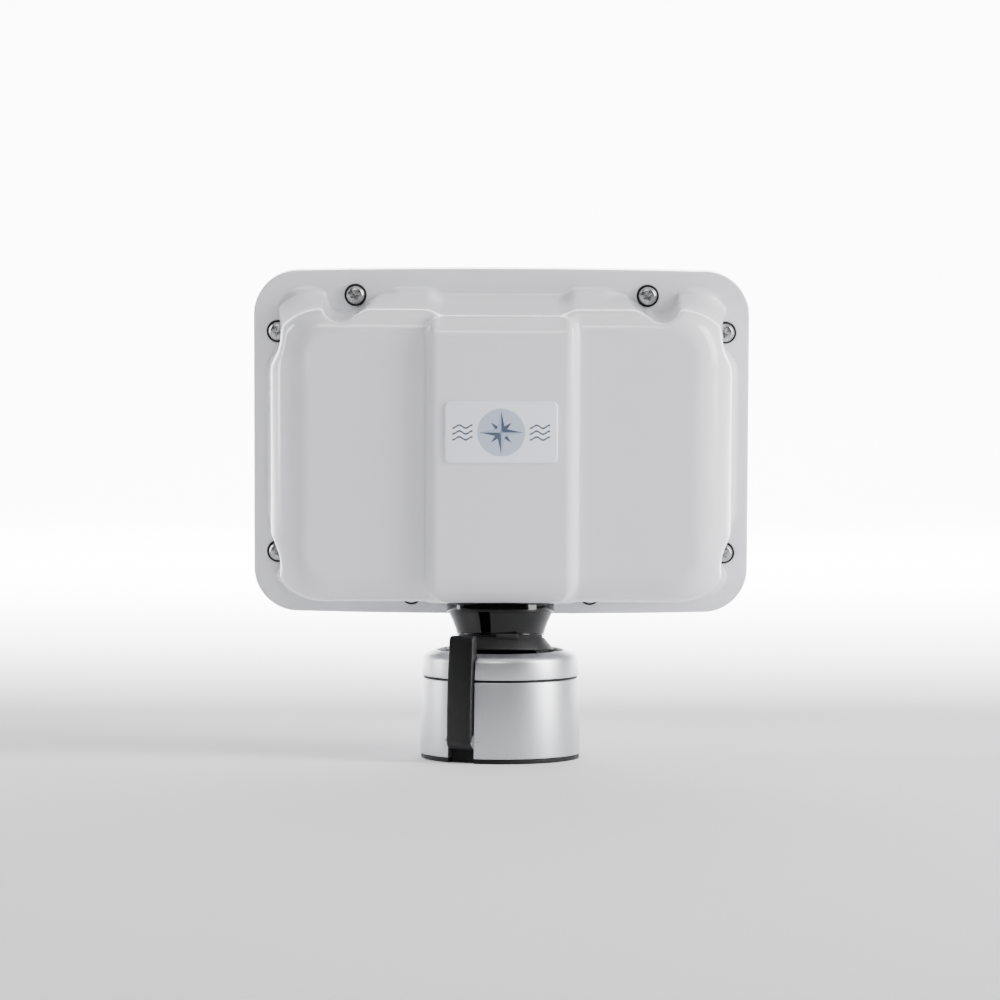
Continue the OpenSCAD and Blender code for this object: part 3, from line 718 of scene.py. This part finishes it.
def rubber_black(rgba):
    """EPDM, moulded, with a dusty bloom."""
    mat, tree = blank("epdm_black")
    bloom = grain(tree, 2 * MM)
    shade(tree, Base_Color=rgba, Roughness=ranged(tree, bloom, 0.6, 0.75), Specular_IOR_Level=0.35)
    return mat


def blasted_alloy(rgba):
    """Aluminium, glass-bead blasted and clear anodised: 0.35 mm craters that scatter the gloss."""
    mat, tree = blank("aluminium_blasted_anodised")
    bead = grain(tree, 0.35 * MM, detail=3.0)
    tone = ranged(tree, grain(tree, 0.7 * MM), 0.9, 1.06)
    toned = add(tree, "ShaderNodeVectorMath", {0: rgba[:3], "Scale": tone}, operation="SCALE")
    shade(tree, Base_Color=toned.outputs["Vector"], Metallic=1.0, Roughness=0.37,
          Normal=bumped(tree, bead, 0.04 * MM, 0.8))
    return mat


def bright_metal(name, rgba, rough=0.22, size=0.6 * MM):
    """Turned or rolled metal with fine tool marks."""
    mat, tree = blank(name)
    shade(tree, Base_Color=rgba, Metallic=1.0, Roughness=ranged(tree, grain(tree, size), rough, rough + 0.1))
    return mat


def plain_plastic(name, rgba, rough):
    """Sintered or machined bearing plastic."""
    mat, tree = blank(name)
    shade(tree, Base_Color=rgba, Roughness=ranged(tree, grain(tree, 1 * MM), rough, rough + 0.08))
    return mat


def badge_print(ground, ink, tint, facet):
    """Digital print under a clear polyurethane dome: a rose on a tinted disc, three waves on each side."""
    pod, neck, _ = sizes()
    mat, tree = blank("badge_domed_print")
    centre = case_frame() @ Vector((0, 0, pod.middle + pod.badge_z))
    coords = add(tree, "ShaderNodeTexCoord").outputs["Object"]
    local = add(tree, "ShaderNodeMapping", {
        "Vector": coords, "Location": centre, "Rotation": (neck.tilt + neck.lean, 0, 0),
        "Scale": (MM, MM, MM)}, vector_type="TEXTURE").outputs["Vector"]
    xyz = add(tree, "ShaderNodeSeparateXYZ", {"Vector": local})
    x, z = xyz.outputs["X"], xyz.outputs["Z"]

    def calc(operation, a, b=0.0, c=0.0):
        return add(tree, "ShaderNodeMath", {0: a, 1: b, 2: c}, operation=operation).outputs["Value"]

    def edge(value, soft=0.12):
        """1 where the value is below zero, with a soft edge of a tenth of a millimetre."""
        return add(tree, "ShaderNodeMapRange", {
            "Value": value, "From Min": -soft, "From Max": soft, "To Min": 1.0,
            "To Max": 0.0}).outputs["Result"]

    def both(a, b):
        return calc("MULTIPLY", a, b)

    disc_r, rose_r, rose_slim, small_r, small_slim = 13.0, 12.0, 2.6, 8.0, 2.0
    wave_from, wave_to, wave_gap, wave_high, wave_half = 15.5, 26.5, 3.2, 0.8, 0.5
    radius = calc("SQRT", calc("MULTIPLY_ADD", x, x, calc("MULTIPLY", z, z)))
    disc = edge(calc("SUBTRACT", radius, disc_r))
    ax, az = calc("ABSOLUTE", x), calc("ABSOLUTE", z)

    def star(a, b, long, slim):
        """Four points: a / long + b / slim < 1, and the other way round."""
        one = calc("SUBTRACT", calc("ADD", calc("DIVIDE", a, long), calc("DIVIDE", b, slim)), 1.0)
        two = calc("SUBTRACT", calc("ADD", calc("DIVIDE", a, slim), calc("DIVIDE", b, long)), 1.0)
        return edge(calc("MULTIPLY", calc("MINIMUM", one, two), 3.0))

    rose = star(ax, az, rose_r, rose_slim)
    turned_a, turned_b = (calc("MULTIPLY", calc("ABSOLUTE", calc(kind, x, z)), math.sqrt(0.5))
                          for kind in ("ADD", "SUBTRACT"))
    small = star(turned_a, turned_b, small_r, small_slim)
    half = edge(calc("MULTIPLY", x, z), 0.6)
    colour_out = mixed(tree, disc, ground, tint)
    colour_out = mixed(tree, small, colour_out, ink)
    colour_out = mixed(tree, rose, colour_out, ink)
    facets = both(both(rose, half), edge(calc("SUBTRACT", radius, rose_r)))
    colour_out = mixed(tree, facets, colour_out, facet)
    for row in (-1.0, 0.0, 1.0):
        wave = calc("ADD", z, calc("MULTIPLY", calc("SINE", calc("MULTIPLY", x, 0.9)), wave_high))
        line = edge(calc("SUBTRACT", calc("ABSOLUTE", calc("SUBTRACT", wave, row * wave_gap)), wave_half))
        beside = both(edge(calc("SUBTRACT", wave_from, ax)), edge(calc("SUBTRACT", ax, wave_to)))
        colour_out = mixed(tree, both(line, beside), colour_out, ink)
    shade(tree, Base_Color=colour_out, Roughness=0.3, Coat_Weight=1.0, Coat_Roughness=0.03, Coat_IOR=1.49)
    return mat


MADE = {}


def materials():
    """Each material once, by name."""
    if not MADE:
        c = bpy.context.scene.pod_colours
        MADE.update(
            case=gloss_case(c.case), neck=gloss_acetal(c.neck), matt=matt_nylon(c.matt),
            lever=coated_lever(c.lever), rubber=rubber_black(c.rubber), alloy=blasted_alloy(c.alloy),
            steel=bright_metal("steel_stainless", c.steel), brass=bright_metal("brass_turned", c.brass, 0.25),
            bronze=bright_metal("bronze_sintered", c.bronze, 0.35, 0.9 * MM),
            white=plain_plastic("ptfe_white", c.white, 0.45),
            bearing=plain_plastic("acetal_bearing", c.matt, 0.4),
            cup=bright_metal("aluminium_hard_anodised", c.cup, 0.4),
            badge=badge_print(c.label, c.ink, c.tint, c.facet))
    return MADE


# ---------- pieces ----------

class PieceOperator:
    bl_options = {"REGISTER", "UNDO"}

    def execute(self, context):
        self.build(*sizes(), materials())
        return {"FINISHED"}


class POD_OT_rear_shell(PieceOperator, bpy.types.Operator):
    """Domed rear shell with its flange, spine and screw pockets"""
    bl_idname = "pod.rear_shell"
    bl_label = "Rear shell"

    def build(self, pod, neck, base, mats):
        obj = bpy.data.objects.new("rear_shell_look", shell_mesh(pod))
        bpy.context.scene.collection.objects.link(obj)
        placed(obj, case_frame())
        finish(obj, "pod", "rear_shell", mats["case"])


class POD_OT_front_panel(PieceOperator, bpy.types.Operator):
    """Flat front panel with its round edge and its recess, and the seal behind it"""
    bl_idname = "pod.front_panel"
    bl_label = "Front panel and seal"

    def build(self, pod, neck, base, mats):
        lo, hi = pod.middle - pod.height / 2, pod.middle + pod.height / 2
        y0 = pod.flange_y + pod.flange_t + pod.seal
        y1 = y0 + pod.panel
        line = rounded_box_line(pod.width / 2, lo, hi, pod.corner, pod.bow)
        panel = slab("front_panel_look", line, y0, y1)
        round_in, border, sunk = 6 * MM, 12 * MM, 0.8 * MM
        front = lambda face: face.normal.y > 0.99 and face.area > 0.01
        edit_faces(panel, front, lambda: bpy.ops.mesh.bevel(offset=round_in, segments=6, affect="EDGES"))
        edit_faces(panel, front, lambda: bpy.ops.mesh.inset(thickness=border - round_in), push_out(-sunk))
        smooth(panel, 35)
        placed(panel, case_frame())
        finish(panel, "pod", "front_panel", mats["case"])
        inset = 1 * MM
        line = rounded_box_line(pod.width / 2 - inset, lo + inset, hi - inset, pod.corner - inset, pod.bow)
        seal = slab("panel_seal_look", line, y0 - pod.seal, y0)
        smooth(seal, 35)
        placed(seal, case_frame())
        finish(seal, "pod", "panel_seal", mats["rubber"])


class POD_OT_badge(PieceOperator, bpy.types.Operator):
    """Domed badge on the spine"""
    bl_idname = "pod.badge"
    bl_label = "Badge"

    def build(self, pod, neck, base, mats):
        mid = pod.middle + pod.badge_z
        back = pod.flange_y - pod.depth - pod.rise
        thick, corner = 1 * MM, 3 * MM
        half_w, half_h = pod.badge_w / 2, pod.badge_h / 2
        line = rounded_box_line(half_w, mid - half_h, mid + half_h, corner, spans=4)
        badge = slab("badge_look", line, back, back - thick)
        rounded_where(badge, lambda a, b: max(a.y, b.y) < back - 0.9 * thick, 0.8 * MM, 6)
        smooth(badge, 35)
        placed(badge, case_frame())
        finish(badge, "pod", "badge", mats["badge"])


class POD_OT_screws(PieceOperator, bpy.types.Operator):
    """Pan-head screws with a cross recess, and the sealing washers under them"""
    bl_idname = "pod.screws"
    bl_label = "Screws and washers"
    washer_t = 1.2 * MM

    def build(self, pod, neck, base, mats):
        screw, washer = self.screw(), self.washer()
        self.spread(screw, pod.flange_y - self.washer_t, "screw_steel", "shell_screws", mats["steel"])
        self.spread(washer, pod.flange_y, "rubber", "sealing_washers", mats["rubber"])

    def spread(self, piece, y, slot, node, material):
        """Puts one at every screw's place."""
        spots = [case_frame() @ Matrix.Translation((x, y, z)) @ self.facing_back(i)
                 for i, (x, z) in enumerate(screw_places())]
        for one in copies(piece, spots):
            finish(one, "pod", node, material)

    def washer(self):
        """Rubber washer with a rounded outer edge."""
        hole, edge = 3 * MM, 6.2 * MM
        profile = [(hole, 0), (edge, 0), (edge, self.washer_t), (hole, self.washer_t)]
        return turned("sealing_washer_look", profile, [0, 0.3 * MM, 0.5 * MM, 0], segments=SMALL_SEGMENTS)

    def facing_back(self, i):
        """Turns a screw's Z to the rear. Each screw has stopped at another angle."""
        stopped = math.radians(23 + 47 * i)
        return Matrix.Rotation(math.radians(90), 4, "X") @ Matrix.Rotation(stopped, 4, "Z")

    def screw(self):
        """Head of a screw with its cross recess, from its underside up along Z."""
        head, tall = 5 * MM, 3.2 * MM
        profile = [(0, 0), (head, 0), (head, 1.3 * MM), (head * 0.78, tall * 0.88), (head * 0.42, tall),
                   (0, tall)]
        screw = turned("shell_screw_look", profile, [0, 0.15 * MM, 1.2 * MM, 1.6 * MM, 2 * MM, 0],
                       segments=SMALL_SEGMENTS)
        wing, slim, deep, above = 2.7 * MM, 0.55 * MM, 1.2 * MM, 5 * MM
        tools = [block((-wing, -slim, deep), (wing, slim, above)),
                 block((-slim, -wing, deep), (slim, wing, above))]
        bpy.ops.mesh.primitive_cone_add(radius1=0.7 * MM, radius2=1.9 * MM, depth=2.6 * MM, vertices=24,
                                        location=(0, 0, 2.2 * MM))
        tools.append(bpy.context.view_layer.objects.active)
        cut(screw, *tools)
        rounded(screw, 0.1 * MM, 2, 50)
        return smooth(screw, 40)


class POD_OT_breather(PieceOperator, bpy.types.Operator):
    """Breather plug in the front panel's underside"""
    bl_idname = "pod.breather"
    bl_label = "Breather plug"

    def build(self, pod, neck, base, mats):
        lo = pod.middle - pod.height / 2
        across, behind_seal = 39.6 * MM, 3.2 * MM
        y = pod.flange_y + pod.flange_t + pod.seal + behind_seal
        hole, edge, proud, length_in = 1 * MM, 3 * MM, 0.7 * MM, 9 * MM
        profile = [(hole, -proud), (edge, -proud), (edge, length_in), (hole, length_in)]
        plug = turned("breather_plug_look", profile, [0.15 * MM, 0.3 * MM, 0, 0],
                      case_frame() @ Matrix.Translation((across, y, lo)), SMALL_SEGMENTS)
        finish(plug, "pod", "breather_plug", mats["case"])


class POD_OT_neck(PieceOperator, bpy.types.Operator):
    """Collar, trumpet, waist and lower cone of the neck"""
    bl_idname = "pod.neck"
    bl_label = "Neck"

    def build(self, pod, neck, base, mats):
        at = neck_frame()
        r, t = neck.collar_r, neck.thread_r
        profile = [(t, neck.collar), (r, neck.collar), (r, neck.foot), (t, neck.foot)]
        collar = turned("pod_collar_look", profile, [0, 0.5 * MM, 0.3 * MM, 0], at)
        finish(collar, "pod", "pod_collar", mats["neck"])
        z0 = neck.waist + neck.gap
        start_r, top_r = neck.waist_r + 0.25 * MM, neck.collar_r - 1.1 * MM
        start_z, steps, flare = z0 + 1.0 * MM, 16, 1.35
        side = [(start_r + (top_r - start_r) * (k / steps) ** flare,
                 start_z + (neck.collar - start_z) * k / steps) for k in range(1, steps + 1)]
        lip = neck.waist_r + 0.4 * MM
        profile = [(t, z0), (lip, z0), (lip, z0 + 0.8 * MM), (lip - 0.35 * MM, start_z), *side,
                   (t, neck.collar)]
        radii = [0, 0.25 * MM, 0.25 * MM, 0, *[0] * steps, 0]
        trumpet = turned("neck_trumpet_look", profile, radii, at)
        finish(trumpet, "pod", "neck_trumpet", mats["neck"])
        wall, top_wall = 2.5 * MM, 3 * MM
        profile = [(neck.stem_r, neck.waist), (neck.stem_r, neck.waist - top_wall),
                   (neck.hem_r - wall, neck.hem), (neck.hem_r, neck.hem), (neck.waist_r, neck.waist)]
        skirt = turned("neck_skirt_look", profile, [0, 0, 0.3 * MM, 0.6 * MM, 0.3 * MM], at)
        finish(skirt, "pod", "neck_skirt", mats["matt"])
        inner = neck.waist_r - 0.8 * MM
        profile = [(neck.stem_r, neck.waist), (inner, neck.waist), (inner, z0), (neck.stem_r, z0)]
        waist = turned("waist_ring_look", profile, [0, 0, 0, 0], at)
        finish(waist, "pod", "waist_ring", mats["rubber"])
        middle, half_h = neck.waist + neck.gap / 2, 1.4 * MM
        left, right, proud, inside = -2.2 * MM, 9.8 * MM, 0.9 * MM, 3 * MM
        key = block((left, -neck.waist_r - proud, middle - half_h),
                    (right, -neck.waist_r + inside, middle + half_h))
        key.name = "index_key_look"
        rounded(key, 0.3 * MM, 3)
        smooth(key)
        placed(key, at)
        finish(key, "pod", "index_key", mats["matt"])


class POD_OT_housing(PieceOperator, bpy.types.Operator):
    """Deck gasket, housing, joint seal and cap, slotted for the lever"""
    bl_idname = "pod.housing"
    bl_label = "Deck housing"

    def slotted(self, obj, base, z0, z1, inner, width):
        """Cuts the lever's slot and rounds its edges."""
        half = base.slot_w / 2
        cut(obj, placed(block((inner, -half, z0 - PAST), (base.radius + PAST, half, z1 + PAST)), slot_turn()))
        if width:
            rounded(obj, width, 2, 50)
        return smooth(obj, 30)

    def build(self, pod, neck, base, mats):
        top_r, hole = base.radius - base.taper, 10 * MM
        g, gasket_r, gasket_hole = base.gasket, base.radius - 0.5 * MM, 11.5 * MM
        profile = [(gasket_hole, 0), (gasket_r, 0), (gasket_r, g), (gasket_hole, g)]
        gasket = turned("base_gasket_look", profile, [0, 0.3 * MM, 0.5 * MM, 0])
        self.slotted(gasket, base, 0, g, base.slot_u - MM, 0)
        # the rubber stands up in the slot, under the lever's foot
        half, high = base.slot_w / 2 - 0.2 * MM, 6.8 * MM
        back, face = base.slot_u - MM, base.slot_u + 0.9 * MM
        only(placed(block((back, -half, 0), (face, half, high)), slot_turn()), gasket)
        bpy.ops.object.join()
        finish(gasket, "base", "base_gasket", mats["rubber"])
        inner, floor = top_r - base.wall, g + base.floor
        profile = [(hole, g), (base.radius, g), (top_r, base.joint_z), (inner, base.joint_z), (inner, floor),
                   (hole, floor)]
        housing = turned("base_housing_look", profile, [0, 0.5 * MM, 0.45 * MM, 0.2 * MM, 0, 0.3 * MM])
        self.slotted(housing, base, g, base.joint_z, base.slot_u, 0.35 * MM)
        finish(housing, "base", "base_housing", mats["alloy"])
        z0, z1 = base.joint_z, base.joint_z + base.joint
        seal_in, seal_out = 37.3 * MM, top_r - MM
        profile = [(seal_in, z0), (seal_out, z0), (seal_out, z1), (seal_in, z1)]
        seal = turned("cap_seal_look", profile, [0, 0, 0, 0])
        self.slotted(seal, base, z0, z1, base.slot_u - MM, 0)
        finish(seal, "base", "cap_seal", mats["rubber"])
        side, corner, crest, ring = top_r - 0.1 * MM, top_r - 0.8 * MM, 36 * MM, 36.4 * MM
        shoulder, ledge = base.rim_z - 2.73 * MM, 50 * MM
        profile = [(ring, z1), (side, z1), (corner, shoulder), (crest, base.rim_z),
                   (base.opening, base.rim_z), (base.opening, ledge), (ring, ledge)]
        cap = turned("clamp_cap_look", profile, [0, 0.45 * MM, 3.5 * MM, 0.5 * MM, 0.5 * MM, 0, 0])
        self.slotted(cap, base, z1, base.rim_z, base.slot_u, 0.35 * MM)
        finish(cap, "base", "clamp_cap", mats["alloy"])


class POD_OT_lever(PieceOperator, bpy.types.Operator):
    """Clamp lever that lies in the slot"""
    bl_idname = "pod.lever"
    bl_label = "Clamp lever"

    def build(self, pod, neck, base, mats):
        cam, throw, lean, tip, pin_hole = 5 * MM, 1.5 * MM, 2.5 * MM, 5 * MM, 2.05 * MM
        foot_in, foot_out, knee = 14 * MM, 16 * MM, 32 * MM
        top, half = base.lever_top - base.pivot_z, base.lever_w / 2
        out = cam - lean
        arc = [(cam * math.cos(a), cam * math.sin(a)) for a in np.radians(np.arange(0, -91, -10))]
        arc += [(cam * math.cos(a) - throw, cam * math.sin(a)) for a in np.radians(np.arange(-90, -221, -10))]
        line = arc + [(out - tip, foot_in), (out - tip, top), (out - 1.6 * MM, top),
                      (out - 0.3 * MM, top - 1.2 * MM), (out + 0.15 * MM, top - 3 * MM),
                      (cam - 0.6 * MM, knee), (cam, foot_out)]
        obj = slab("clamp_lever_look", line, -half, half)
        rounded_where(obj, lambda a, b: abs(a.y - b.y) < 1e-6, 0.9 * MM, 4)
        cut(obj, rod(pin_hole, (0, -half - PAST, 0), (0, half + PAST, 0)))
        smooth(obj, 35)
        placed(obj, lever_frame())
        finish(obj, "lever", "clamp_lever", mats["lever"])


class POD_OT_kept_nodes(PieceOperator, bpy.types.Operator):
    """Materials of the CAD nodes that are shown as they are"""
    bl_idname = "pod.kept_nodes"
    bl_label = "Inner pieces"

    def build(self, pod, neck, base, mats):
        looks = {
            "bearing_liner": "bearing", "thrust_washer": "white", "swivel_cup": "cup", "tilt_pins": "steel",
            "socket_ring": "bearing", "cap_screws": "steel", "lever_pin": "steel", "lever_spacers": "steel",
            "clamp_shoe": "bronze", "ball_stem": "neck", "mounting_plate": "steel", "plate_bolts": "steel",
            "stem_washer": "steel", "stem_nut": "steel", "thread_inserts": "brass"}
        for node, look in looks.items():
            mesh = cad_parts[node].data
            mesh.materials.clear()
            mesh.materials.append(mats[look])


class POD_OT_stage(PieceOperator, bpy.types.Operator):
    """Pale floor with a curved backdrop, soft lights and the camera"""
    bl_idname = "pod.stage"
    bl_label = "Stage"

    def build(self, pod, neck, base, mats):
        scene = bpy.context.scene
        self.floor(scene)
        self.world(scene)
        self.soft_light("right_box", (1.75, -0.55, 0.7), (0, 0, 0.16), (0.7, 1.9), 80)
        self.soft_light("left_strip", (-1.6, 0.35, 0.5), (0, 0, 0.12), (0.3, 1.7), 24)
        self.soft_light("top_box", (0.1, -0.2, 1.9), (0, 0, 0.1), (2.4, 1.8), 15)
        self.soft_light("front_fill", (-0.5, -3.0, 2.3), (0, 0, 0.15), (1.6, 0.8), 40)
        self.soft_light("back_wash", (0, 1.3, 1.5), (0, 3.2, 0.2), (4.0, 0.6), 1150)
        self.camera(scene)

    def floor(self, scene):
        """Paper that lies flat, curves up behind the object and stands."""
        near, bend, radius, high, half_w = -9.0, 2.6, 1.2, 6.0, 9
        curve = [(bend + radius * math.sin(a), radius - radius * math.cos(a))
                 for a in np.radians(np.arange(7.5, 91, 7.5))]
        line = [(near, 0.0), (bend, 0.0), *curve, (bend + radius, high)]
        mesh = bpy.data.meshes.new("floor")
        count = len(line)
        mesh.from_pydata([(s * half_w, y, z) for s in (-1, 1) for y, z in line], [],
                         [(i, count + i, count + i + 1, i + 1) for i in range(count - 1)])
        floor = bpy.data.objects.new("floor", mesh)
        scene.collection.objects.link(floor)
        smooth(floor, 60)
        mat, tree = blank("paper_white")
        shade(tree, Base_Color=scene.pod_colours.ground, Roughness=0.9, Specular_IOR_Level=0.1)
        mesh.materials.append(mat)

    def world(self, scene):
        """Faint even light."""
        world = bpy.data.worlds.new("studio")
        world.use_nodes = True
        back = world.node_tree.nodes["Background"]
        back.inputs["Color"].default_value = (1, 1, 1, 1)
        back.inputs["Strength"].default_value = 0.05
        scene.world = world

    def soft_light(self, name, place, target, size, power):
        """Soft box at a place, aimed at a target, its size in metres and its power in watts."""
        light = bpy.data.lights.new(name, "AREA")
        light.shape = "RECTANGLE"
        light.size, light.size_y = size
        light.energy = power
        obj = bpy.data.objects.new(name, light)
        obj.location = place
        obj.rotation_euler = (Vector(target) - Vector(place)).to_track_quat("-Z", "Y").to_euler()
        bpy.context.scene.collection.objects.link(obj)

    def camera(self, scene):
        """Long lens, a little above the middle of the object and aimed slightly down."""
        cam = bpy.data.cameras.new("camera")
        cam.lens, cam.sensor_width = 182.5, 36
        cam.clip_start, cam.clip_end = 0.1, 50
        obj = bpy.data.objects.new("camera", cam)
        obj.location = (-0.0005, -2.789, 0.275)
        look = Matrix.Rotation(math.radians(90 - 2.733), 4, "X") @ Matrix.Rotation(math.radians(0.2), 4, "Z")
        obj.rotation_euler = look.to_euler()
        scene.collection.objects.link(obj)
        scene.camera = obj


class POD_PT_panel(bpy.types.Panel):
    bl_label = "Instrument pod"
    bl_idname = "POD_PT_panel"
    bl_space_type = "VIEW_3D"
    bl_region_type = "UI"
    bl_category = "Pod"

    def draw(self, context):
        for group in ("pod_sizes", "neck_sizes", "base_sizes", "pod_colours"):
            box = self.layout.box()
            settings = getattr(context.scene, group)
            for name in settings.bl_rna.properties.keys():
                if name not in ("rna_type", "name"):
                    box.prop(settings, name)
        for piece in PIECES:
            self.layout.operator(piece.bl_idname)


GROUPS = {"pod_sizes": PodSizes, "neck_sizes": NeckSizes, "base_sizes": BaseSizes, "pod_colours": Colours}
PIECES = (POD_OT_rear_shell, POD_OT_front_panel, POD_OT_badge, POD_OT_screws, POD_OT_breather, POD_OT_neck,
          POD_OT_housing, POD_OT_lever, POD_OT_kept_nodes, POD_OT_stage)


def register():
    for cls in (*GROUPS.values(), *PIECES, POD_PT_panel):
        bpy.utils.register_class(cls)
    for name, group in GROUPS.items():
        setattr(bpy.types.Scene, name, bpy.props.PointerProperty(type=group))


def unregister():
    for name in GROUPS:
        delattr(bpy.types.Scene, name)
    for cls in (POD_PT_panel, *reversed(PIECES), *reversed(tuple(GROUPS.values()))):
        bpy.utils.unregister_class(cls)


def main():
    register()
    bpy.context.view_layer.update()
    for piece in PIECES:
        group, name = piece.bl_idname.split(".")
        getattr(getattr(bpy.ops, group), name)()


if __name__ == "__main__":
    main()
